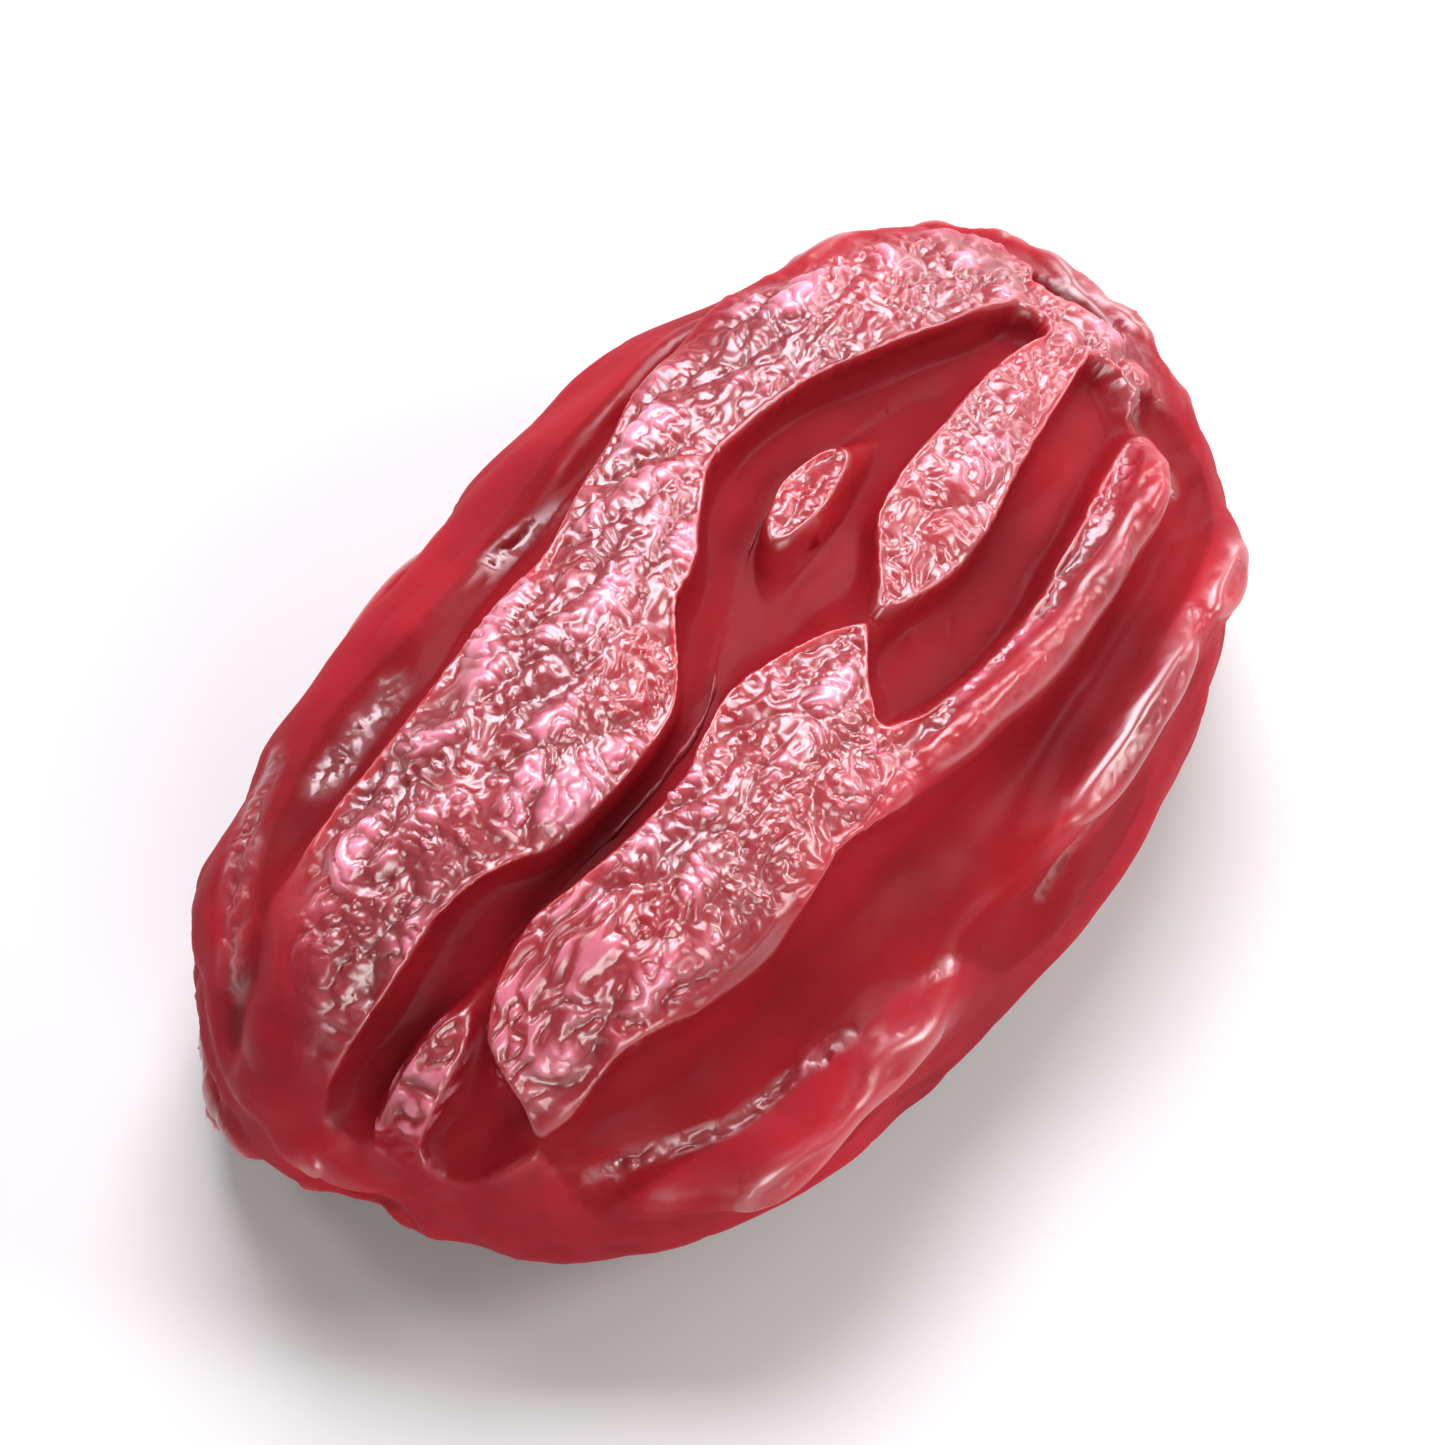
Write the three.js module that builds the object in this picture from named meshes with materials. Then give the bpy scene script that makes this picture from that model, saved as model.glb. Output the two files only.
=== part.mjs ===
// A dried cranberry: one shrunken, flattened berry whose skin has sunk into long folds.
// The folds run from the stem end (-X) to the blossom end (+X). The berry lies on its underside.
import * as THREE from "three";
import { mergeVertices } from "three/addons/utils/BufferGeometryUtils.js";
import { ImprovedNoise } from "three/addons/math/ImprovedNoise.js";

// Driving sizes, in millimetres: X runs along the berry, Y across it and Z up.
const LENGTH = 12.8;
const WIDTH = 7.9;
const THICKNESS = 5.4;
const REST_DEPTH = 0.3; // how far the underside is pressed flat where the berry lies on it

// The grid that the skin is drawn on: steps along, across and up.
const STEPS = { along: 34, across: 38, up: 22 };
const GRID_LIFT = 0.3; // how far the grid is drawn upwards, so that its steps are finer on top

// The plump form under the folds.
const FORM = {
  halfLength: 0.475 * LENGTH,
  halfWidth: 0.445 * WIDTH,
  rise: 0.44 * THICKNESS, // from the widest level up to the floor of the top folds
  drop: 0.36 * THICKNESS, // from the widest level down
  planPower: 2.45, // over 2, so that the outline is a little boxy
  topPower: 2.15, // how full the section is above the widest level
  lowPower: 2.6, // and below it
};

// The outline's unevenness: so many bulges round it, how high, and where the first one points.
const OUTLINE_WAVES = [
  { bulges: 2, height: 0.036, towards: THREE.MathUtils.degToRad(104) },
  { bulges: 3, height: 0.024, towards: THREE.MathUtils.degToRad(24) },
];

// A roll is a fold with a broad flat top. A crest is a fold pinched to a thin edge.
const ROLL = (share) => 1 - share ** 3;
const CREST = (share) => (1 - share ** 1.6) ** 1.5;

// The folds on the upper side, in millimetres. A path's points are shares of the half length and the
// half width, in plan from the berry's middle.
const TOP_FOLDS = [
  // The broad far roll: two bulges with a neck between them, and a narrower end.
  {
    profile: ROLL, raise: 0.9, halfWidth: 0.98,
    path: [[0.88, 0.2], [0.74, 0.26], [0.53, 0.33], [0.3, 0.36], [0.03, 0.34], [-0.15, 0.3]],
  },
  {
    profile: ROLL, raise: 0.95, halfWidth: 0.94,
    path: [[0.28, 0.36], [0.08, 0.31], [-0.1, 0.2], [-0.28, 0.13], [-0.46, 0.12], [-0.75, 0.22]],
  },
  {
    profile: ROLL, raise: 0.92, halfWidth: 0.88,
    path: [[0.06, 0.33], [-0.2, 0.29], [-0.5, 0.26], [-0.7, 0.25], [-0.97, 0.28]],
  },
  // The near roll, and the narrow one that carries it on towards the blossom end.
  {
    profile: ROLL, raise: 0.88, halfWidth: 0.88,
    path: [[0.26, -0.2], [0, -0.27], [-0.22, -0.36], [-0.42, -0.35], [-0.62, -0.27], [-0.8, -0.2]],
  },
  {
    profile: ROLL, raise: 0.88, halfWidth: 0.52,
    path: [[0.8, -0.02], [0.6, -0.1], [0.4, -0.19], [0.2, -0.25], [-0.04, -0.33]],
  },
  // The crest that parts the top from the near flank, and the low rim that it starts from.
  {
    profile: CREST, raise: 0.9, halfWidth: 0.5,
    path: [
      [0.7, -0.33], [0.58, -0.48], [0.35, -0.53], [0.1, -0.51],
      [-0.17, -0.48], [-0.5, -0.43], [-0.93, -0.3],
    ],
  },
  {
    profile: CREST, raise: 0.84, halfWidth: 0.5,
    path: [[0.53, 0.3], [0.7, 0.15], [0.76, -0.15], [0.66, -0.42]],
  },
  // The thin fold that runs beside the crest to the stem end.
  {
    profile: CREST, raise: 0.7, halfWidth: 0.42,
    path: [[-0.46, -0.12], [-0.64, -0.1], [-0.8, -0.07], [-0.98, -0.03]],
  },
  // The small blob between the two rolls.
  { profile: ROLL, raise: 0.86, halfWidth: 0.5, path: [[0.44, 0.06], [0.21, 0.01], [-0.02, -0.06]] },
  // The lip round the blossom end, and the bulb at the stem end.
  {
    profile: CREST, raise: 0.5, halfWidth: 0.55,
    path: [[0.53, 0.71], [0.77, 0.56], [0.86, 0.25], [0.86, -0.15], [0.72, -0.61]],
  },
  { profile: ROLL, raise: 0.34, halfWidth: 0.6, path: [[-0.84, 0.3], [-0.95, 0.1], [-0.94, -0.12]] },
  // The far flank's roll, and the near flank's two crests.
  {
    profile: ROLL, raise: 0.46, halfWidth: 0.95,
    path: [[0.69, 0.66], [0.08, 0.68], [-0.47, 0.6], [-0.84, 0.42]],
  },
  { profile: CREST, raise: 0.5, halfWidth: 0.58, path: [[0.78, -0.6], [0.45, -0.76], [-0.02, -0.82]] },
  {
    profile: CREST, raise: 0.46, halfWidth: 0.6,
    path: [[-0.04, -0.88], [-0.33, -0.82], [-0.6, -0.77], [-0.9, -0.66]],
  },
];

// The creases on the upper side, cut below the floor of the folds. The folds beside one lean over it
// by its tuck.
const TOP_CREASES = [
  // The zigzag one between the two rolls.
  {
    depth: 0.42, halfWidth: 0.44, tuck: 0.12,
    path: [
      [0.66, 0.08], [0.25, 0.16], [0.06, 0.14], [-0.07, 0.08], [-0.19, -0.08],
      [-0.37, -0.15], [-0.48, -0.12], [-0.56, 0.0], [-0.66, 0.05],
    ],
  },
  // The deep pocket behind the crest.
  {
    depth: 0.42, halfWidth: 0.46, tuck: 0.06,
    path: [[0.68, -0.17], [0.4, -0.35], [0.2, -0.38], [0.04, -0.38]],
  },
  // The ones along the far and the near flank.
  {
    depth: 0.32, halfWidth: 0.4, tuck: 0.14,
    path: [[0.69, 0.52], [0.4, 0.56], [0.11, 0.49], [-0.22, 0.42], [-0.5, 0.44]],
  },
  {
    depth: 0.16, halfWidth: 0.8, tuck: 0.04,
    path: [[0.77, -0.48], [0.41, -0.68], [-0.06, -0.69], [-0.53, -0.62], [-0.84, -0.5]],
  },
];

const LINE_STEPS = 30; // points along the line of a fold or crease
const FOLD_END = 1.8; // the length over which a fold rises at each end
const CREASE_END = 0.13; // the share of a crease's length over which it deepens at each end
const CREASE_FLOOR = 0.3; // the share of a crease's half width that is flat floor
const LEAN = { from: 0.08, most: 0.42, gone: 1.3 }; // how far off a crease the folds lean over it
const JOIN_POWER = 5; // how sharply folds meet where they overlap

// The folds that run round the underside from end to end, spread by noise: how far they run, how wide
// they are, how high, and how much of them is left where the skin above is smooth.
const LONG_FOLDS = { along: 4.4, across: 1.45, height: 0.95, onTop: 0.12, seeds: [4.2, 2.6] };

// The level where the skin turns smooth, from 0 at the widest level. It slants down to the near side
// and to the stem end.
const SMOOTH_FROM = { low: -0.55, high: 0, slantX: 0.3, slantY: 0.47 };

const SWELL = { size: 1.1, share: 0.3, seed: 5.3 }; // how the folds swell and narrow along their way
const WANDER = { size: 2.4, reach: 0.34, seeds: [1.7, 9.2, 17.3] }; // how far the folds wander
const PUCKER = { size: 0.8, stretch: 1.7, depth: 0.065, seed: 3.1 }; // the small puckers all over
const STEM_PIT = { x: -LENGTH / 2, z: -0.5, radius: 1, depth: 0.3 };

const noise = new ImprovedNoise();

// A smooth wave from about -1 to 1 at a point, with bumps of a given size.
function waveAt(point, size, seed, stretch = 1) {
  return noise.noise(point.x / (size * stretch) + seed, point.y / size - seed, point.z / size + seed / 2);
}

// How far out a point in plan lies, as a share of the way to the outline.
function planReach(x, y) {
  return (Math.abs(x) ** FORM.planPower + Math.abs(y) ** FORM.planPower) ** (1 / FORM.planPower);
}

// The point of the plump form in a direction from the middle.
function plumpPoint(direction) {
  const { halfLength, halfWidth, rise, drop, topPower, lowPower } = FORM;
  const power = direction.z > 0 ? topPower : lowPower;
  const plan = planReach(direction.x, direction.y);
  const reach = (plan ** power + Math.abs(direction.z) ** power) ** (1 / power);
  const angle = Math.atan2(direction.y, direction.x);
  const waveOf = ({ bulges, height, towards }) => height * Math.cos(bulges * (angle - towards));
  const outline = OUTLINE_WAVES.reduce((sum, wave) => sum + waveOf(wave), 1);
  return new THREE.Vector3(
    (direction.x / reach) * halfLength * outline,
    (direction.y / reach) * halfWidth * outline,
    (direction.z / reach) * (direction.z > 0 ? rise : drop),
  );
}

// The way out of the plump form at one of its points.
function plumpNormal(direction) {
  const step = 0.01;
  const helper = Math.abs(direction.z) < 0.9 ? new THREE.Vector3(0, 0, 1) : new THREE.Vector3(1, 0, 0);
  const sideways = new THREE.Vector3().crossVectors(helper, direction).normalize();
  const upward = new THREE.Vector3().crossVectors(direction, sideways).normalize();
  const at = (way, amount) => plumpPoint(direction.clone().addScaledVector(way, amount).normalize());
  const across = at(sideways, step).sub(at(sideways, -step));
  const along = at(upward, step).sub(at(upward, -step));
  return across.cross(along).normalize();
}

// The point of the plump form's upper side over a point in plan.
function pointOver([shareX, shareY]) {
  const flat = new THREE.Vector2(shareX * LENGTH, shareY * WIDTH).multiplyScalar(0.5);
  flat.divide(new THREE.Vector2(FORM.halfLength, FORM.halfWidth));
  const reach = planReach(flat.x, flat.y);
  const held = Math.min(reach, 0.995);
  flat.multiplyScalar(held / reach);
  const height = (1 - held ** FORM.topPower) ** (1 / FORM.topPower);
  return plumpPoint(new THREE.Vector3(flat.x, flat.y, height).normalize());
}

// A fold or crease with its line laid on the plump form.
function laid(fold) {
  const curve = new THREE.CatmullRomCurve3(fold.path.map(pointOver), false, "centripetal");
  return { ...fold, line: curve.getPoints(LINE_STEPS), length: curve.getLength() };
}

// The nearest place on a line, how far off it is, and how far from the line's nearer end, from 0 to 0.5.
function nearestOn(line, point) {
  const segment = new THREE.Line3();
  const found = new THREE.Vector3();
  const best = { distance: Infinity, fromEnd: 0, place: new THREE.Vector3() };
  for (let i = 0; i + 1 < line.length; i++) {
    segment.set(line[i], line[i + 1]);
    const part = segment.closestPointToPointParameter(point, true);
    const distance = segment.at(part, found).distanceTo(point);
    if (distance >= best.distance) continue;
    const along = (i + part) / (line.length - 1);
    best.distance = distance;
    best.fromEnd = Math.min(along, 1 - along);
    best.place.copy(found);
  }
  return best;
}

// How far a fold stands out at a point.
function foldHeight(fold, point) {
  const { distance, fromEnd } = nearestOn(fold.line, point);
  const taper = Math.min(1, (fromEnd * fold.length) / FOLD_END) ** 0.7;
  const swell = 1 + SWELL.share * waveAt(point, SWELL.size, SWELL.seed);
  const share = distance / (fold.halfWidth * swell * (0.5 + 0.5 * taper));
  return share < 1 ? fold.raise * taper * fold.profile(share) : 0;
}

// How deep a crease cuts at a point, and the push that leans the folds beside it over it.
function creaseCut(crease, point) {
  const { distance, fromEnd, place } = nearestOn(crease.line, point);
  const taper = Math.min(1, fromEnd / CREASE_END);
  const floor = crease.halfWidth * CREASE_FLOOR;
  const depth = crease.depth * taper * (1 - THREE.MathUtils.smoothstep(distance, floor, crease.halfWidth));
  const rising = THREE.MathUtils.smoothstep(distance, LEAN.from, LEAN.most);
  const fading = 1 - THREE.MathUtils.smoothstep(distance, LEAN.most, LEAN.gone);
  const push = place.sub(point).setLength(crease.tuck * taper * rising * fading);
  return { depth, push };
}

// The long folds round the berry: soft rolls with a sharp crease between each two.
function longFold(point, direction) {
  const { along, across, height, onTop, seeds } = LONG_FOLDS;
  const round = new THREE.Vector2(point.y / FORM.halfWidth, point.z / FORM.drop);
  const outward = Math.min(1, round.length() * 1.25);
  round.setLength(THICKNESS / 2 + 0.3).divideScalar(across);
  const wave = noise.noise(point.x / along + seeds[0], round.x, round.y + seeds[1]);
  const { low, high, slantX, slantY } = SMOOTH_FROM;
  const level = direction.z - slantX * direction.x - slantY * direction.y;
  const cover = 1 - (1 - onTop) * THREE.MathUtils.smoothstep(level, low, high);
  return height * outward * cover * Math.min(0.55, Math.abs(wave)) ** 0.8;
}

// The small puckers: sharp ridges between soft hollows, drawn out along the berry.
function pucker(point) {
  const { size, stretch, depth, seed } = PUCKER;
  return depth * (1 - 2.4 * Math.abs(waveAt(point, size, seed, stretch)));
}

// The hollow at the stem end.
function stemPit(point) {
  const away = Math.hypot(point.x - STEM_PIT.x, point.y, point.z - STEM_PIT.z) / STEM_PIT.radius;
  return STEM_PIT.depth * Math.max(0, 1 - away ** 2);
}

// A point pushed about a little, so that folds drawn straight come out wandering.
function wandered(point) {
  const push = WANDER.seeds.map((seed) => WANDER.reach * waveAt(point, WANDER.size, seed));
  return new THREE.Vector3(...push).add(point);
}

// A point of the skin: one of the plump form, raised by the folds and sunk by the creases.
function skinPoint(direction, folds, creases) {
  const point = plumpPoint(direction);
  const place = wandered(point);
  const heights = folds.map((fold) => foldHeight(fold, place));
  heights.push(longFold(place, direction));
  const joined = heights.reduce((sum, height) => sum + height ** JOIN_POWER, 0) ** (1 / JOIN_POWER);
  const cuts = creases.map((crease) => creaseCut(crease, place));
  const cut = Math.max(...cuts.map(({ depth }) => depth));
  const outward = joined - cut - stemPit(point) + pucker(point);
  const skin = point.addScaledVector(plumpNormal(direction), outward);
  cuts.forEach(({ push }) => skin.add(push));
  return skin;
}

// Scales the skin to the driving sizes, lays it on Z = 0 and presses its lowest part flat.
function settle(geometry) {
  geometry.computeBoundingBox();
  const size = geometry.boundingBox.getSize(new THREE.Vector3());
  geometry.scale(LENGTH / size.x, WIDTH / size.y, (THICKNESS + REST_DEPTH) / size.z);
  geometry.computeBoundingBox();
  const { min, max } = geometry.boundingBox;
  geometry.translate(-(min.x + max.x) / 2, -(min.y + max.y) / 2, -min.z - REST_DEPTH);
  const position = geometry.attributes.position;
  for (let i = 0; i < position.count; i++) position.setZ(i, Math.max(0, position.getZ(i)));
}

// The whole berry as one closed skin, drawn on a box's grid blown up to a ball.
function berryGeometry() {
  const box = new THREE.BoxGeometry(2, 2, 2, STEPS.along, STEPS.across, STEPS.up);
  box.deleteAttribute("normal");
  box.deleteAttribute("uv");
  const geometry = mergeVertices(box);
  const folds = TOP_FOLDS.map(laid);
  const creases = TOP_CREASES.map(laid);
  const position = geometry.attributes.position;
  const direction = new THREE.Vector3();
  for (let i = 0; i < position.count; i++) {
    direction.fromBufferAttribute(position, i);
    direction.set(...direction.toArray().map((part) => Math.tan((part * Math.PI) / 4)));
    direction.setZ(direction.z + GRID_LIFT).normalize();
    position.setXYZ(i, ...skinPoint(direction, folds, creases).toArray());
  }
  settle(geometry);
  geometry.computeVertexNormals();
  return geometry;
}

const skinMaterial = new THREE.MeshStandardMaterial({ color: 0xa3141f, roughness: 0.38, metalness: 0 });
const berry = new THREE.Mesh(berryGeometry(), skinMaterial);
berry.name = "dried_berry";

const group = new THREE.Group();
group.add(berry);

export default group;
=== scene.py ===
"""One dried cranberry in Blender: the folded berry of the frame, with the fine wrinkles, the deep
crimson and the sticky sheen of its skin, on a plain pale floor under soft studio light.
"""

import logging
import math
from dataclasses import dataclass, field
from enum import Enum

import bmesh
import bpy
import numpy as np
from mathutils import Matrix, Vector, noise


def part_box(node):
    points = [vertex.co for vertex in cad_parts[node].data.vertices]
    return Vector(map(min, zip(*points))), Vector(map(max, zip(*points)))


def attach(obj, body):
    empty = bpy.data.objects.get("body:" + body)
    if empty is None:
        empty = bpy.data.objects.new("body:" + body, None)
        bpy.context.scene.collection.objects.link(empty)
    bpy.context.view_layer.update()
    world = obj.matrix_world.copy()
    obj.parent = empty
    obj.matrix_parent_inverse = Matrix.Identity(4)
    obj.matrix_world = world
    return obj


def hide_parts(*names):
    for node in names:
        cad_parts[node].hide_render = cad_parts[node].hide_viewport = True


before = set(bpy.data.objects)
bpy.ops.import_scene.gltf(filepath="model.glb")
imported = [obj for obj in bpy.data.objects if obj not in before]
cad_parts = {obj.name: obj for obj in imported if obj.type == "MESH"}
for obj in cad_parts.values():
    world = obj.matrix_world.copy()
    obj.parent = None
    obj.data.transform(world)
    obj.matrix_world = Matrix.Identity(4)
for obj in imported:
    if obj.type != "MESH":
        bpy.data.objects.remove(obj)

MM = 0.001
BODY = "root"
BERRY_NODE = "dried_berry"

Colour = tuple[float, float, float]
Triple = tuple[float, float, float]

log = logging.getLogger("dried_cranberry")


def smooth_step(values: np.ndarray, low: float, high: float) -> np.ndarray:
    """Eases values from 0 at low to 1 at high.

    Args:
        values: The numbers to ease.
        low: Where the result starts to rise.
        high: Where it reaches 1.

    Returns:
        The eased numbers, from 0 to 1.
    """
    share = np.clip((values - low) / (high - low), 0.0, 1.0)
    return share * share * (3.0 - 2.0 * share)


class Grain(Enum):
    """The pattern that a size of wrinkle is drawn with."""

    ROLLED = "PERLIN_ORIGINAL"  # soft rolls with a sharp crease between each two
    NETTED = "VORONOI_F2F1"  # small pads with a net of creases round them


@dataclass(frozen=True)
class Wrinkles:
    """Wrinkles of one size.

    Attributes:
        grain: Their pattern.
        spacing: How far apart they lie, in millimetres.
        stretch: How much longer they are along X, Y and Z.
        height: How high they stand, in millimetres.
        on_hollows: The share of the height that is left in hollows and on smooth flanks.
        seed: What sets their places.
    """

    grain: Grain
    spacing: float
    stretch: Triple
    height: float
    on_hollows: float
    seed: float

    def relief(self, places: np.ndarray) -> np.ndarray:
        """Draws the pattern.

        Args:
            places: The points to draw it at, in millimetres.

        Returns:
            For each point, how far it stands out, from about -0.5 to 0.5 of the height.
        """
        scaled = places / (self.spacing * np.array(self.stretch)) + self.seed
        read = [noise.noise(Vector(place), noise_basis=self.grain.value) for place in scaled]
        if self.grain is Grain.ROLLED:
            pattern = np.minimum(np.abs(read) / 0.45, 1.0) ** 0.8
        else:
            pattern = 1.0 - np.exp(-np.maximum(read, 0.0) * 5.0)
        return self.height * (pattern - 0.5)


@dataclass
class SkinSurface:
    """The points of a mesh as arrays, in millimetres, with what reshapes them.

    Attributes:
        mesh: The mesh whose points these are.
        points: One row for each point.
    """

    mesh: bpy.types.Mesh
    points: np.ndarray = field(init=False)
    _edges: np.ndarray = field(init=False, repr=False)
    _ties: np.ndarray = field(init=False, repr=False)

    def __post_init__(self) -> None:
        """Reads the points and edges."""
        count = len(self.mesh.vertices)
        flat = np.empty(count * 3)
        self.mesh.vertices.foreach_get("co", flat)
        self.points = flat.reshape(-1, 3) / MM
        pairs = np.empty(len(self.mesh.edges) * 2, dtype=np.int32)
        self.mesh.edges.foreach_get("vertices", pairs)
        self._edges = pairs.reshape(-1, 2)
        self._ties = np.bincount(self._edges.ravel(), minlength=count).astype(float)

    def normals(self) -> np.ndarray:
        """Gives the way out of the skin at each point."""
        self.write()
        flat = np.empty(len(self.points) * 3)
        self.mesh.vertex_normals.foreach_get("vector", flat)
        return flat.reshape(-1, 3)

    def averaged(self, values: np.ndarray, rounds: int) -> np.ndarray:
        """Smooths values over the skin.

        Args:
            values: One number or one row for each point.
            rounds: How many times each point takes half of its neighbours' mean.

        Returns:
            The smoothed values.
        """
        columns = values.reshape(len(values), -1).T.copy()
        start, end = self._edges.T
        count = len(values)
        for _ in range(rounds):
            for column in columns:
                total = np.bincount(start, column[end], count) + np.bincount(end, column[start], count)
                column += 0.5 * (total / self._ties - column)
        return columns.T.reshape(values.shape)

    def write(self) -> None:
        """Puts the points back in the mesh."""
        self.mesh.vertices.foreach_set("co", (self.points * MM).ravel())
        self.mesh.update()

    def store(self, name: str, values: np.ndarray) -> None:
        """Keeps one number for each point in the mesh, for the skin's colours."""
        layer = self.mesh.attributes.new(name, "FLOAT", "POINT")
        layer.data.foreach_set("value", values.astype(np.float32))

    def store_rows(self, name: str, rows: np.ndarray) -> None:
        """Keeps one place for each point in the mesh."""
        layer = self.mesh.attributes.new(name, "FLOAT_VECTOR", "POINT")
        layer.data.foreach_set("vector", rows.astype(np.float32).ravel())

    def stored_rows(self, name: str) -> np.ndarray:
        """Reads places that were kept in the mesh."""
        rows = np.empty(len(self.points) * 3, dtype=np.float32)
        self.mesh.attributes[name].data.foreach_get("vector", rows)
        return rows.reshape(-1, 3).astype(float)

    def stored(self, name: str) -> np.ndarray:
        """Reads numbers that were kept in the mesh."""
        values = np.empty(len(self.points), dtype=np.float32)
        self.mesh.attributes[name].data.foreach_get("value", values)
        return values.astype(float)


@dataclass(frozen=True)
class SkinFinish:
    """The skin of a sweetened dried cranberry: translucent crimson with a sticky sheen.

    Attributes:
        flesh: The colour of the open skin.
        deep: The colour down in the creases.
        painted_top_highlight: The colour of the tops of the folds, lighter than the flesh, a painted highlight.
        painted_highlight: The pale pink painted on the crests of the finest wrinkles, a painted highlight.
        roughness: The least and the most roughness.
        dull_hollows: The roughness down in the hollows, where there is no sticky film.
        glow_reach: How far red, green and blue light travel inside, in millimetres.
    """

    flesh: Colour = (0.18, 0.004, 0.007)
    deep: Colour = (0.2, 0.004, 0.008)
    painted_top_highlight: Colour = (0.24, 0.009, 0.016)
    painted_highlight: Colour = (0.68, 0.24, 0.34)
    roughness: tuple[float, float] = (0.26, 0.42)
    dull_hollows: float = 0.72
    glow_reach: Triple = (1.3, 0.22, 0.16)

    def build(self) -> bpy.types.Material:
        """Makes the material."""
        material = bpy.data.materials.new("dried cranberry skin")
        material.use_nodes = True
        nodes, links = material.node_tree.nodes, material.node_tree.links
        shader = nodes["Principled BSDF"]
        shader.inputs["IOR"].default_value = 1.36
        shader.inputs["Specular IOR Level"].default_value = 0.12
        shader.inputs["Coat Roughness"].default_value = 0.32
        shader.inputs["Coat IOR"].default_value = 1.87
        shader.inputs["Subsurface Weight"].default_value = 0.55
        shader.inputs["Subsurface Radius"].default_value = self.glow_reach
        shader.inputs["Subsurface Scale"].default_value = MM

        place = nodes.new("ShaderNodeTexCoord").outputs["Object"]
        stand = nodes.new("ShaderNodeAttribute")
        stand.attribute_name = "stand"
        height = nodes.new("ShaderNodeMapRange")
        height.inputs["From Min"].default_value = -0.15
        height.inputs["From Max"].default_value = 0.45
        links.new(stand.outputs["Fac"], height.inputs["Value"])

        # Colour by height: the creases about the flesh's colour, the tops of the folds lighter, a painted
        # highlight.
        tone = nodes.new("ShaderNodeValToRGB")
        tone.color_ramp.elements[0].position = 0.15
        tone.color_ramp.elements[0].color = (*self.deep, 1.0)
        tone.color_ramp.elements[1].position = 0.85
        tone.color_ramp.elements[1].color = (*self.painted_top_highlight, 1.0)
        middle = tone.color_ramp.elements.new(0.6)
        middle.color = (*self.flesh, 1.0)
        links.new(height.outputs["Result"], tone.inputs["Fac"])

        blotch = nodes.new("ShaderNodeTexNoise")
        blotch.inputs["Scale"].default_value = 0.45 / MM
        blotch.inputs["Detail"].default_value = 4.0
        links.new(place, blotch.inputs["Vector"])
        shade = nodes.new("ShaderNodeMapRange")
        shade.inputs["From Min"].default_value = 0.35
        shade.inputs["From Max"].default_value = 0.68
        shade.inputs["To Min"].default_value = 0.72
        shade.inputs["To Max"].default_value = 1.25
        links.new(blotch.outputs["Fac"], shade.inputs["Value"])
        tinted = nodes.new("ShaderNodeVectorMath")
        tinted.operation = "SCALE"
        links.new(tone.outputs["Color"], tinted.inputs["Vector"])
        links.new(shade.outputs["Result"], tinted.inputs["Scale"])
        # The pale pink mixed into the base colour on the crests of the fine wrinkles and the streaks is a painted
        # highlight.
        edge = nodes.new("ShaderNodeAttribute")
        edge.attribute_name = "painted_highlight"
        painted_highlight_mix = nodes.new("ShaderNodeMix")
        painted_highlight_mix.data_type = "RGBA"
        links.new(edge.outputs["Fac"], painted_highlight_mix.inputs["Factor"])
        links.new(tinted.outputs["Vector"], painted_highlight_mix.inputs["A"])
        painted_highlight_mix.inputs["B"].default_value = (*self.painted_highlight, 1.0)
        links.new(painted_highlight_mix.outputs["Result"], shader.inputs["Base Color"])

        sheen_patch = nodes.new("ShaderNodeTexNoise")
        sheen_patch.inputs["Scale"].default_value = 2.2 / MM
        sheen_patch.inputs["Detail"].default_value = 5.0
        links.new(place, sheen_patch.inputs["Vector"])
        rough = nodes.new("ShaderNodeMapRange")
        rough.inputs["From Min"].default_value = 0.3
        rough.inputs["From Max"].default_value = 0.7
        rough.inputs["To Min"].default_value = self.roughness[0]
        rough.inputs["To Max"].default_value = self.roughness[1]
        links.new(sheen_patch.outputs["Fac"], rough.inputs["Value"])
        film = nodes.new("ShaderNodeAttribute")
        film.attribute_name = "film"
        links.new(film.outputs["Fac"], shader.inputs["Coat Weight"])
        dull = nodes.new("ShaderNodeMix")
        dull.data_type = "FLOAT"
        dull.inputs["A"].default_value = self.dull_hollows
        links.new(film.outputs["Fac"], dull.inputs["Factor"])
        links.new(rough.outputs["Result"], dull.inputs["B"])
        links.new(dull.outputs["Result"], shader.inputs["Roughness"])

        pores = nodes.new("ShaderNodeTexNoise")
        pores.inputs["Scale"].default_value = 7.5 / MM
        pores.inputs["Detail"].default_value = 3.0
        pores.inputs["Distortion"].default_value = 0.6
        links.new(place, pores.inputs["Vector"])
        bump = nodes.new("ShaderNodeBump")
        bump.inputs["Strength"].default_value = 0.35
        bump.inputs["Distance"].default_value = 0.03 * MM
        links.new(pores.outputs["Fac"], bump.inputs["Height"])
        links.new(bump.outputs["Normal"], shader.inputs["Normal"])
        return material


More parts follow.
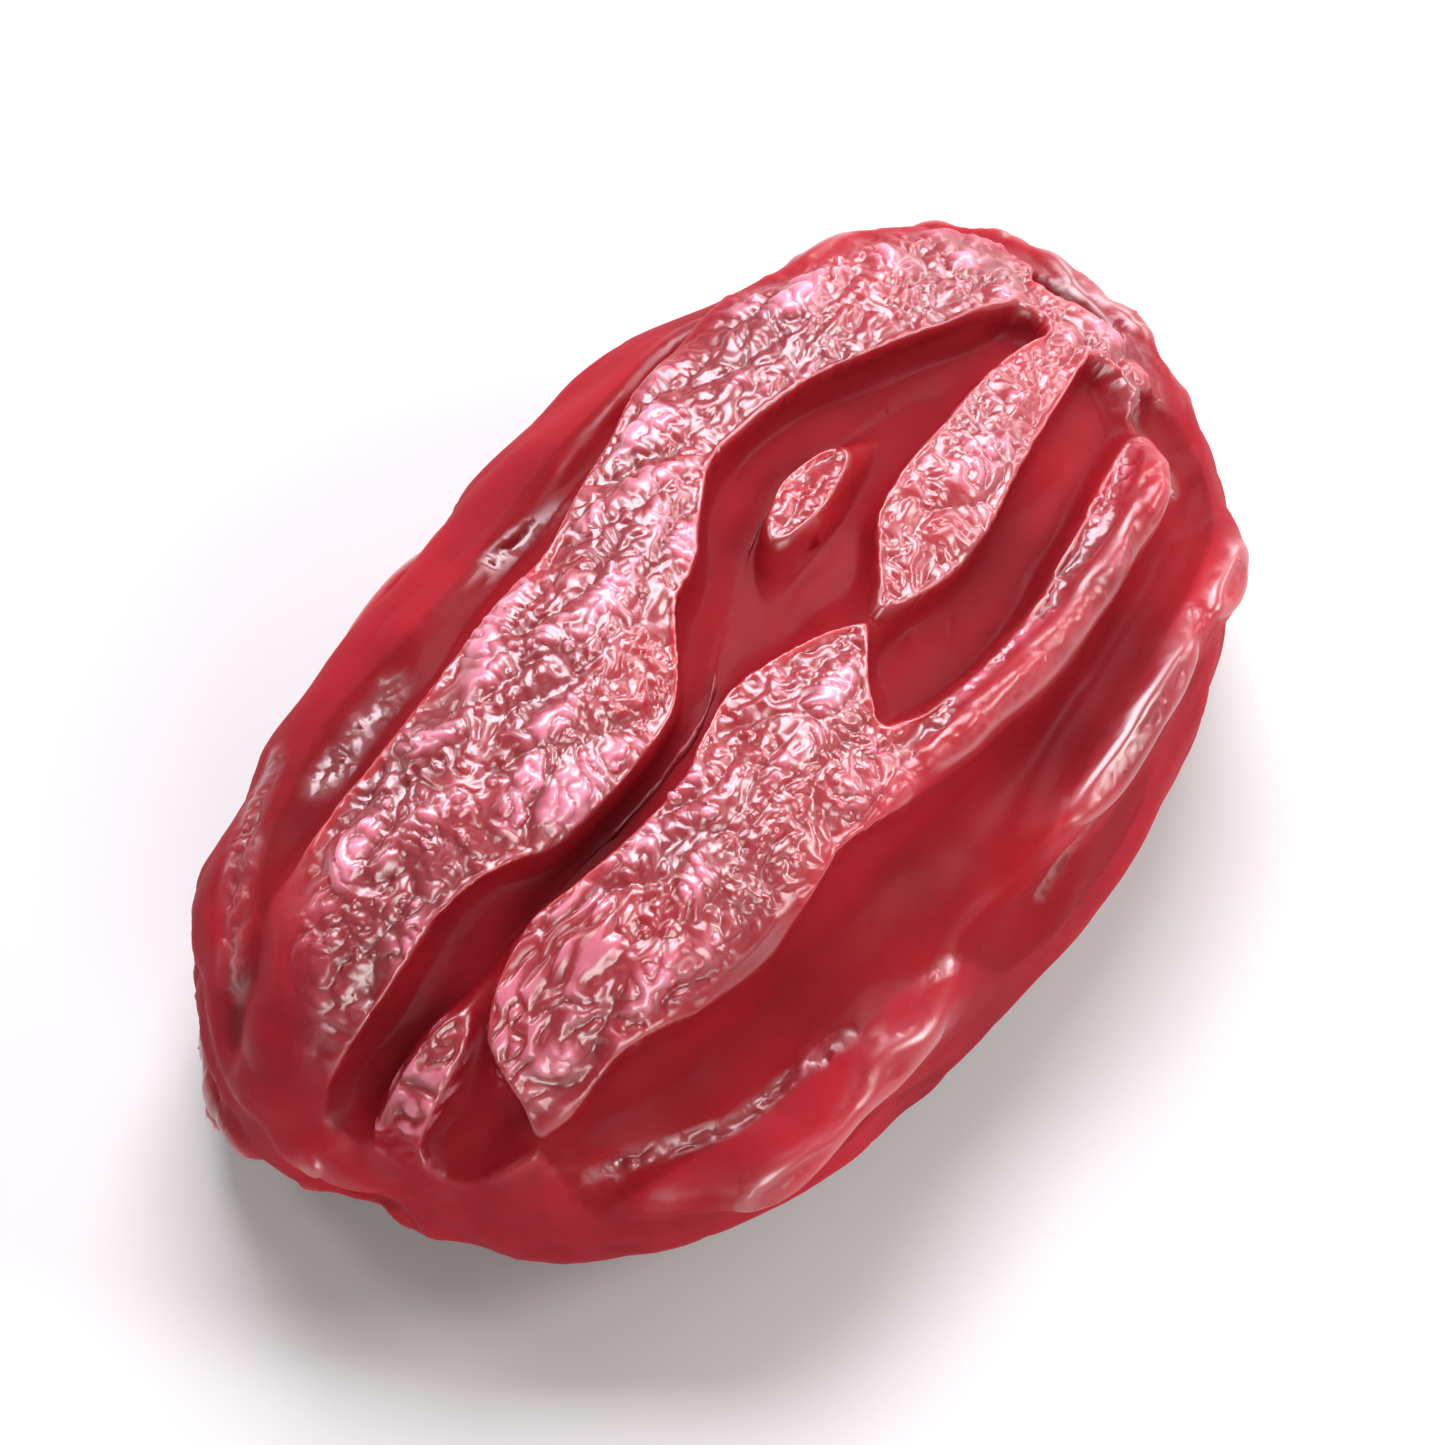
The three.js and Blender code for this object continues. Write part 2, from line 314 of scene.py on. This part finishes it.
@dataclass(frozen=True)
class FoldShape:
    """How the folds of the upper side are pressed flat, with crisp rims and flat hollows.

    Attributes:
        middle: The height over the smoothed skin, in millimetres, where a fold ends.
        top_step: How far the tops lie above the middle.
        floor_step: How far the hollows lie below it.
        wall: How far from the middle the walls reach.
        rim: How much the edges of the tops stand up.
        rim_rounds: Rounds of smoothing that set how wide the rims are.
        edge: The height where the tops end.
        crest_edge: The height, over its surroundings, where a crest of the flanks ends.
        kept: How much is kept of what stands over the walls.
        fill_rounds: Rounds of smoothing that carry the tops over their low middles.
        full_height: The least height of a top's middle.
    """

    middle: float = 0.06
    top_step: float = 0.2
    floor_step: float = 0.11
    wall: float = 0.15
    rim: float = 0.1
    rim_rounds: int = 8
    edge: float = 0.2
    crest_edge: float = 0.04
    kept: float = 0.25
    fill_rounds: int = 150
    full_height: float = 0.4

    def filled(self, stand: np.ndarray, surface: SkinSurface) -> np.ndarray:
        """Raises the low middles of broad tops.

        Args:
            stand: For each point, its height over the smoothed skin.
            surface: The skin.

        Returns:
            The heights, with no low middles.
        """
        tops = surface.averaged(smooth_step(stand, 0.1, 0.18), self.fill_rounds)
        inside = smooth_step(tops, 0.5, 0.65) * smooth_step(stand, 0.08, 0.16)
        return np.maximum(stand, self.full_height * inside)

    def rims(self, height: np.ndarray, level: float, surface: SkinSurface) -> np.ndarray:
        """Finds the line where the skin passes a level.

        Args:
            height: For each point, its height.
            level: The level.
            surface: The skin.

        Returns:
            For each point, 1 on the line and 0 off it.
        """
        over = surface.averaged(smooth_step(height, 0.85 * level, 1.15 * level), self.rim_rounds)
        return (4.0 * over * (1.0 - over)) ** 2

    def shaped(self, stand: np.ndarray) -> np.ndarray:
        """Reshapes heights.

        Args:
            stand: For each point, its height over the smoothed skin.

        Returns:
            The heights of flat-topped folds.
        """
        share = np.tanh((stand - self.middle) / self.wall)
        steps = np.where(share > 0.0, self.top_step, self.floor_step) * share
        return self.middle + steps + self.kept * (stand - self.middle)


@dataclass(frozen=True)
class TopOval:
    """The oval on the berry's upper side where the folds are pressed flat and the skin is crinkled.

    Attributes:
        half_length: Its reach along X, in millimetres.
        half_width: Its reach along Y.
        middle_y: Where its middle lies along Y.
        soft: The share of its reach over which it fades.
    """

    half_length: float = 6.3
    half_width: float = 2.65
    middle_y: float = -0.12
    soft: float = 0.16

    def cover(self, points: np.ndarray, normals: np.ndarray) -> np.ndarray:
        """Tells which points lie in the oval.

        Args:
            points: The skin's points, in millimetres.
            normals: The way out of the skin at each.

        Returns:
            For each point, 1 in the oval and 0 off it.
        """
        along = np.abs(points[:, 0]) / self.half_length
        across = np.abs(points[:, 1] - self.middle_y) / self.half_width
        reach = (along**2.6 + across**2.6) ** (1 / 2.6)
        return (1.0 - smooth_step(reach, 1.0 - self.soft, 1.0)) * smooth_step(normals[:, 2], 0.15, 0.45)


@dataclass(frozen=True)
class SkinLine:
    """A line along the skin, with a soft edge.

    Attributes:
        path: Its points, in millimetres.
        reach: How far off the line it still tells.
    """

    path: tuple[Triple, ...]
    reach: float

    def cover(self, points: np.ndarray) -> np.ndarray:
        """Tells which points lie on the line.

        Args:
            points: The skin's points, in millimetres.

        Returns:
            For each point, 1 on the line and 0 out of its reach.
        """
        off = np.full(len(points), np.inf)
        for start, end in zip(self.path, self.path[1:]):
            first, way = np.array(start), np.array(end) - np.array(start)
            share = np.clip((points - first) @ way / (way @ way), 0.0, 1.0)
            off = np.minimum(off, np.linalg.norm(points - first - share[:, None] * way, axis=1))
        return 1.0 - smooth_step(off / self.reach, 0.1, 1.0)


@dataclass
class DriedBerry:
    """The berry: the frame's folded form, drawn finer, with sharper creases and fine wrinkles.

    Attributes:
        finish: What its skin is like.
        folds: How its folds are pressed flat.
        top: Where they are.
        fold_rounds: Rounds of smoothing that take the folds out, for telling folds from hollows.
        flank_rounds: Rounds of smoothing that make the flanks taut.
        crest_rounds: Rounds of smoothing that take out the crests of the flanks, for finding them.
        crest_gain: How much higher these crests are drawn, as a share of their height.
        gleams: The crinkled lines and spots off the folds' tops, such as the lip at the blossom end.
        streaked: Where the near roll narrows to fine long folds at the stem end.
        streaks: These folds.
        wrinkles: The sizes of wrinkle, from coarse to fine.
        triangles: The most triangles that the finished skin has.
    """

    finish: SkinFinish = field(default_factory=SkinFinish)
    folds: FoldShape = field(default_factory=FoldShape)
    top: TopOval = field(default_factory=TopOval)
    fold_rounds: int = 260
    flank_rounds: int = 10
    crest_rounds: int = 40
    crest_gain: float = 1.8
    gleams: tuple[SkinLine, ...] = (
        SkinLine(((-0.6, 2.45, 4.3), (0.3, 2.3, 4.4)), 0.2),
        SkinLine(((-3.6, 2.3, 4.15), (-2.4, 2.4, 4.3)), 0.32),
        SkinLine(((-5.6, 1.9, 3.3), (-4.4, 2.6, 3.7), (-3.5, 3.0, 3.7)), 0.3),
        SkinLine(((4.8, 2.1, 3.3), (5.2, 1.2, 4.2), (5.5, 0.3, 4.0), (5.3, -1.0, 4.0), (4.7, -2.1, 3.3)), 0.24),
        SkinLine(((-5.0, -2.1, 2.8), (-3.8, -2.9, 2.95), (-2.5, -3.3, 3.2), (-1.1, -3.6, 3.1)), 0.14),
        SkinLine(((3.6, -3.2, 3.3), (1.8, -3.7, 3.4), (0.3, -3.7, 2.7)), 0.14),
        SkinLine(((-3.9, -1.7, 4.2), (-4.1, -2.0, 4.0), (-4.4, -2.1, 3.6)), 0.11),
    )
    streaked: SkinLine = SkinLine(((-5.7, -0.4, 3.4), (-3.9, -0.9, 4.7)), 0.9)
    streaks: Wrinkles = Wrinkles(Grain.ROLLED, 0.17, (11.0, 1.0, 1.0), 0.07, 0.0, 31.7)
    wrinkles: tuple[Wrinkles, ...] = (
        Wrinkles(Grain.ROLLED, 0.60, (3.2, 1.0, 1.0), 0.08, 0.35, 7.9),
        Wrinkles(Grain.ROLLED, 0.42, (2.4, 1.0, 1.0), 0.085, 0.1, 11.3),
        Wrinkles(Grain.NETTED, 0.19, (1.2, 1.0, 1.0), 0.055, 0.0, 4.7),
        Wrinkles(Grain.ROLLED, 0.14, (1.0, 1.3, 1.3), 0.045, 0.0, 23.9),
    )
    triangles: int = 190_000

    def build(self) -> bpy.types.Object:
        """Makes the berry and sets it on its body in place of the frame's node."""
        low, high = (np.array(corner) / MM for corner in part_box(BERRY_NODE))
        berry = self._copy()
        self._divide(berry, 1)
        self._keep_ground(SkinSurface(berry.data))
        self._divide(berry, 1)
        surface = SkinSurface(berry.data)
        self._shape_folds(surface)
        self._divide(berry, 1)
        surface = SkinSurface(berry.data)
        self._add_wrinkles(surface, surface.stored("stand"))
        surface.write()
        self._thin(berry)
        surface = SkinSurface(berry.data)
        self._settle(surface, low, high)
        surface.write()
        berry.data.shade_smooth()
        berry.data.materials.append(self.finish.build())
        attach(berry, BODY)
        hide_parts(BERRY_NODE)
        return berry

    def _copy(self) -> bpy.types.Object:
        """Copies the frame's node, with its triangles joined in fours."""
        work = bmesh.new()
        work.from_mesh(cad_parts[BERRY_NODE].data)
        bmesh.ops.remove_doubles(work, verts=work.verts[:], dist=0.002 * MM)
        wide = math.radians(175.0)
        bmesh.ops.join_triangles(work, faces=work.faces[:], angle_face_threshold=wide, angle_shape_threshold=wide)
        mesh = bpy.data.meshes.new("skin")
        work.to_mesh(mesh)
        work.free()
        for layer in [a for a in mesh.attributes if not a.is_internal and not a.is_required]:
            mesh.attributes.remove(layer)
        berry = bpy.data.objects.new("wrinkled_skin", mesh)
        bpy.context.scene.collection.objects.link(berry)
        return berry

    def _divide(self, berry: bpy.types.Object, levels: int) -> None:
        """Divides the faces smoothly.

        Args:
            berry: The object whose mesh is divided.
            levels: How many times.
        """
        divide = berry.modifiers.new("divide", "SUBSURF")
        divide.levels = divide.render_levels = levels
        self._apply(berry)

    def _thin(self, berry: bpy.types.Object) -> None:
        """Takes faces out where the skin is smooth, down to the most triangles."""
        thin = berry.modifiers.new("thin", "DECIMATE")
        thin.ratio = self.triangles / (2.0 * len(berry.data.polygons))
        self._apply(berry)

    def _apply(self, berry: bpy.types.Object) -> None:
        """Puts what the modifiers make in the mesh."""
        bpy.context.view_layer.update()
        seen = berry.evaluated_get(bpy.context.evaluated_depsgraph_get())
        made = bpy.data.meshes.new_from_object(seen)
        old = berry.data
        berry.modifiers.clear()
        berry.data = made
        made.name = old.name
        bpy.data.meshes.remove(old)

    def _keep_ground(self, surface: SkinSurface) -> None:
        """Keeps the skin as it would be without its folds."""
        surface.store_rows("ground", surface.averaged(surface.points, self.fold_rounds))

    def _shape_folds(self, surface: SkinSurface) -> None:
        """Presses the folds of the upper side flat, and keeps how high they stand."""
        folded = surface.points
        surface.points = surface.stored_rows("ground")
        normals = surface.normals()
        before = np.einsum("ij,ij->i", folded - surface.points, normals)
        stand = self.folds.filled(before, surface)
        top = self.top.cover(folded, normals)
        rims = self.folds.rims(stand, self.folds.edge, surface) * smooth_step(stand, 0.14, 0.25)
        change = top * (self.folds.shaped(stand) - before + self.folds.rim * rims)
        surface.points = folded + change[:, None] * normals
        eased = surface.averaged(surface.points, self.flank_rounds)
        taut = np.maximum(1.0 - top, 1.0 - smooth_step(stand, -0.15, 0.05))
        surface.points += taut[:, None] * (eased - surface.points)
        normals = surface.normals()
        rest = surface.points - surface.averaged(surface.points, self.crest_rounds)
        crest = np.einsum("ij,ij->i", rest, normals)
        aside = (1.0 - top) * smooth_step(stand, 0.0, 0.12)
        loops = self.folds.rims(crest, self.folds.crest_edge, surface) * aside
        raised = self.crest_gain * aside * np.maximum(crest, 0.0) + 0.4 * self.folds.rim * loops
        surface.points += raised[:, None] * normals
        surface.write()
        surface.store("stand", stand)
        surface.store("rim", np.maximum(rims * top, loops))
        surface.store("crest", crest * aside)

    def _add_wrinkles(self, surface: SkinSurface, stand: np.ndarray) -> None:
        """Raises the fine wrinkles, most of all on the tops of the folds."""
        normals = surface.averaged(surface.normals(), 6)
        places = surface.points.copy()
        places += 0.12 * np.array([noise.noise_vector(Vector(place)) for place in places / 0.6])
        oval = self.top.cover(surface.points, normals)
        spots = np.max([gleam.cover(surface.points) for gleam in self.gleams], axis=0)
        crests = smooth_step(surface.stored("crest"), 0.02, 0.045)
        rims = smooth_step(surface.stored("rim"), 0.1, 0.6)
        hidden = smooth_step(0.5 * normals[:, 1] - normals[:, 2], 0.15, 0.6)
        streaked = smooth_step(self.streaked.cover(surface.points), 0.0, 0.5) * (1.0 - rims)
        streaked *= smooth_step(stand, 0.1, 0.2)
        streaks = self.streaks.relief(places)
        top = smooth_step(stand, 0.2, 0.3) * oval * (1.0 - rims) * (1.0 - 0.9 * streaked)
        aside = np.maximum(0.4 * crests * (1.0 - rims), (0.3 + 0.6 * crests) * hidden)
        cover = np.maximum(top, np.maximum(aside, 0.7 * spots))
        relief = streaked * streaks
        for wrinkles in self.wrinkles:
            relief += (wrinkles.on_hollows + (1.0 - wrinkles.on_hollows) * cover) * wrinkles.relief(places)
        surface.points += relief[:, None] * normals
        film = np.maximum(smooth_step(stand, 0.16, 0.26) * oval, rims)
        film = np.maximum(film, 0.03 + 0.5 * crests + 0.2 * hidden * (1.0 - crests))
        film = np.maximum(film, 0.9 * spots)
        surface.store("film", film)
        # A painted highlight: the base colour is paled on the crests of the fine wrinkles, as far as they cover.
        most = sum(wrinkles.height for wrinkles in self.wrinkles)
        painted_highlight = cover * smooth_step(relief / most, 0.0, 0.35)
        # A painted highlight along the crests of the long streaks at the stem end.
        lines = 0.5 * streaked * smooth_step(streaks / self.streaks.height, 0.3, 0.5)
        surface.store("painted_highlight", np.maximum(painted_highlight, lines))

    def _settle(self, surface: SkinSurface, low: np.ndarray, high: np.ndarray) -> None:
        """Brings the skin back to the frame's box and presses the underside flat where it rests."""
        points = surface.points
        least, most = points.min(0), points.max(0)
        middle = (high + low) / 2.0
        points[:, :2] -= (most + least)[:2] / 2.0
        points[:, :2] *= np.minimum((high - low) / (most - least), 1.0)[:2]
        points[:, :2] += middle[:2]
        points[:, 2] = low[2] + np.maximum(points[:, 2] - low[2], 0.0) * (high[2] - low[2]) / (most[2] - low[2])


@dataclass(frozen=True)
class FloorFinish:
    """A plain pale matt floor."""

    colour: Colour = (0.5, 0.5, 0.49)

    def build(self) -> bpy.types.Material:
        """Makes the material."""
        material = bpy.data.materials.new("pale floor")
        material.use_nodes = True
        shader = material.node_tree.nodes["Principled BSDF"]
        shader.inputs["Base Color"].default_value = (*self.colour, 1.0)
        shader.inputs["Roughness"].default_value = 0.6
        return material


@dataclass(frozen=True)
class SoftBox:
    """A soft studio light, by where it stands round the berry.

    Attributes:
        name: What it is called.
        azimuth: Its direction in degrees, 0 from -Y and 90 from +X.
        elevation: How high it stands, in degrees.
        away: How far off, in millimetres.
        side: The length of its side, in millimetres.
        power: Its power in watts.
        colour: Its colour.
    """

    name: str
    azimuth: float
    elevation: float
    away: float
    side: float
    power: float
    colour: Colour = (1.0, 1.0, 1.0)

    def build(self, target: Vector) -> bpy.types.Object:
        """Makes the light and turns it to the target."""
        lamp = bpy.data.lights.new(self.name, "AREA")
        lamp.size = self.side * MM
        lamp.energy = self.power
        lamp.color = self.colour
        light = bpy.data.objects.new(self.name, lamp)
        back = way_back(self.azimuth, self.elevation)
        light.location = target + back * self.away * MM
        light.rotation_mode = "QUATERNION"
        light.rotation_quaternion = (-back).to_track_quat("-Z", "Y")
        bpy.context.scene.collection.objects.link(light)
        return light


def way_back(azimuth: float, elevation: float) -> Vector:
    """Gives the way from the berry to a place round it.

    Args:
        azimuth: The place's direction in degrees, 0 from -Y and 90 from +X.
        elevation: Its height above the horizon, in degrees.

    Returns:
        A vector of length 1.
    """
    turn, rise = math.radians(azimuth), math.radians(elevation)
    return Vector((math.sin(turn) * math.cos(rise), -math.cos(turn) * math.cos(rise), math.sin(rise)))


@dataclass
class Studio:
    """The pale floor, the soft lights and the camera.

    Attributes:
        azimuth: Where the camera stands, in degrees, as the photograph sees the berry.
        elevation: How far it looks down, in degrees.
        lens: Its focal length, in millimetres.
        away: How far it stands from the berry, in millimetres.
        lights: The soft lights.
        sky: The brightness of the light from all sides.
        floor_side: The length of the floor's side, in millimetres.
    """

    azimuth: float = -53.3
    elevation: float = 58.0
    lens: float = 300.0
    away: float = 120.0
    lights: tuple[SoftBox, ...] = (
        SoftBox("light over the far side", 127.0, 60.0, 120.0, 80.0, 0.24, (0.99, 0.92, 1.0)),
        SoftBox("light from behind", 102.0, 12.0, 150.0, 50.0, 0.07, (0.99, 0.92, 1.0)),
        SoftBox("light from the end", 72.0, 22.0, 150.0, 50.0, 0.07, (0.99, 0.92, 1.0)),
        SoftBox("light from the left", -168.0, 36.0, 140.0, 30.0, 0.04),
        SoftBox("light from the right", 35.0, 33.0, 140.0, 44.0, 0.11),
        SoftBox("light from the front", -40.0, 26.0, 160.0, 90.0, 0.19),
    )
    sky: float = 0.22
    floor_side: float = 1200.0
    floor_finish: FloorFinish = field(default_factory=FloorFinish)

    def build(self) -> None:
        """Sets up the floor, the lights and the camera round the berry."""
        low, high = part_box(BERRY_NODE)
        target = (low + high) / 2.0
        self._floor()
        for light in self.lights:
            light.build(target)
        self._sky()
        self._camera(target)

    def _floor(self) -> None:
        """Lays the floor at the height that the berry rests on."""
        half = self.floor_side * MM / 2.0
        mesh = bpy.data.meshes.new("floor")
        corners = [(-half, -half, 0.0), (half, -half, 0.0), (half, half, 0.0), (-half, half, 0.0)]
        mesh.from_pydata(corners, [], [(0, 1, 2, 3)])
        mesh.materials.append(self.floor_finish.build())
        floor = bpy.data.objects.new("floor", mesh)
        bpy.context.scene.collection.objects.link(floor)

    def _sky(self) -> None:
        """Lights the scene evenly from all sides."""
        world = bpy.data.worlds.new("studio")
        world.use_nodes = True
        background = world.node_tree.nodes["Background"]
        background.inputs["Color"].default_value = (1.0, 1.0, 1.0, 1.0)
        background.inputs["Strength"].default_value = self.sky
        bpy.context.scene.world = world

    def _camera(self, target: Vector) -> None:
        """Stands the camera at the photograph's angle."""
        lens = bpy.data.cameras.new("camera")
        lens.lens = self.lens
        lens.clip_start, lens.clip_end = MM, 10.0
        camera = bpy.data.objects.new("camera", lens)
        back = way_back(self.azimuth, self.elevation)
        camera.location = target + back * self.away * MM
        camera.rotation_mode = "QUATERNION"
        camera.rotation_quaternion = (-back).to_track_quat("-Z", "Y")
        bpy.context.scene.collection.objects.link(camera)
        bpy.context.scene.camera = camera
        bpy.context.scene.view_settings.view_transform = "Standard"


def main() -> None:
    """Builds the berry and the studio."""
    logging.basicConfig(level=logging.INFO, format="%(name)s: %(message)s")
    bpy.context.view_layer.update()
    berry = DriedBerry().build()
    log.info("%s: %d points, %d faces", berry.name, len(berry.data.vertices), len(berry.data.polygons))
    Studio().build()
    log.info("studio: floor, lights and camera")


if __name__ == "__main__":
    main()
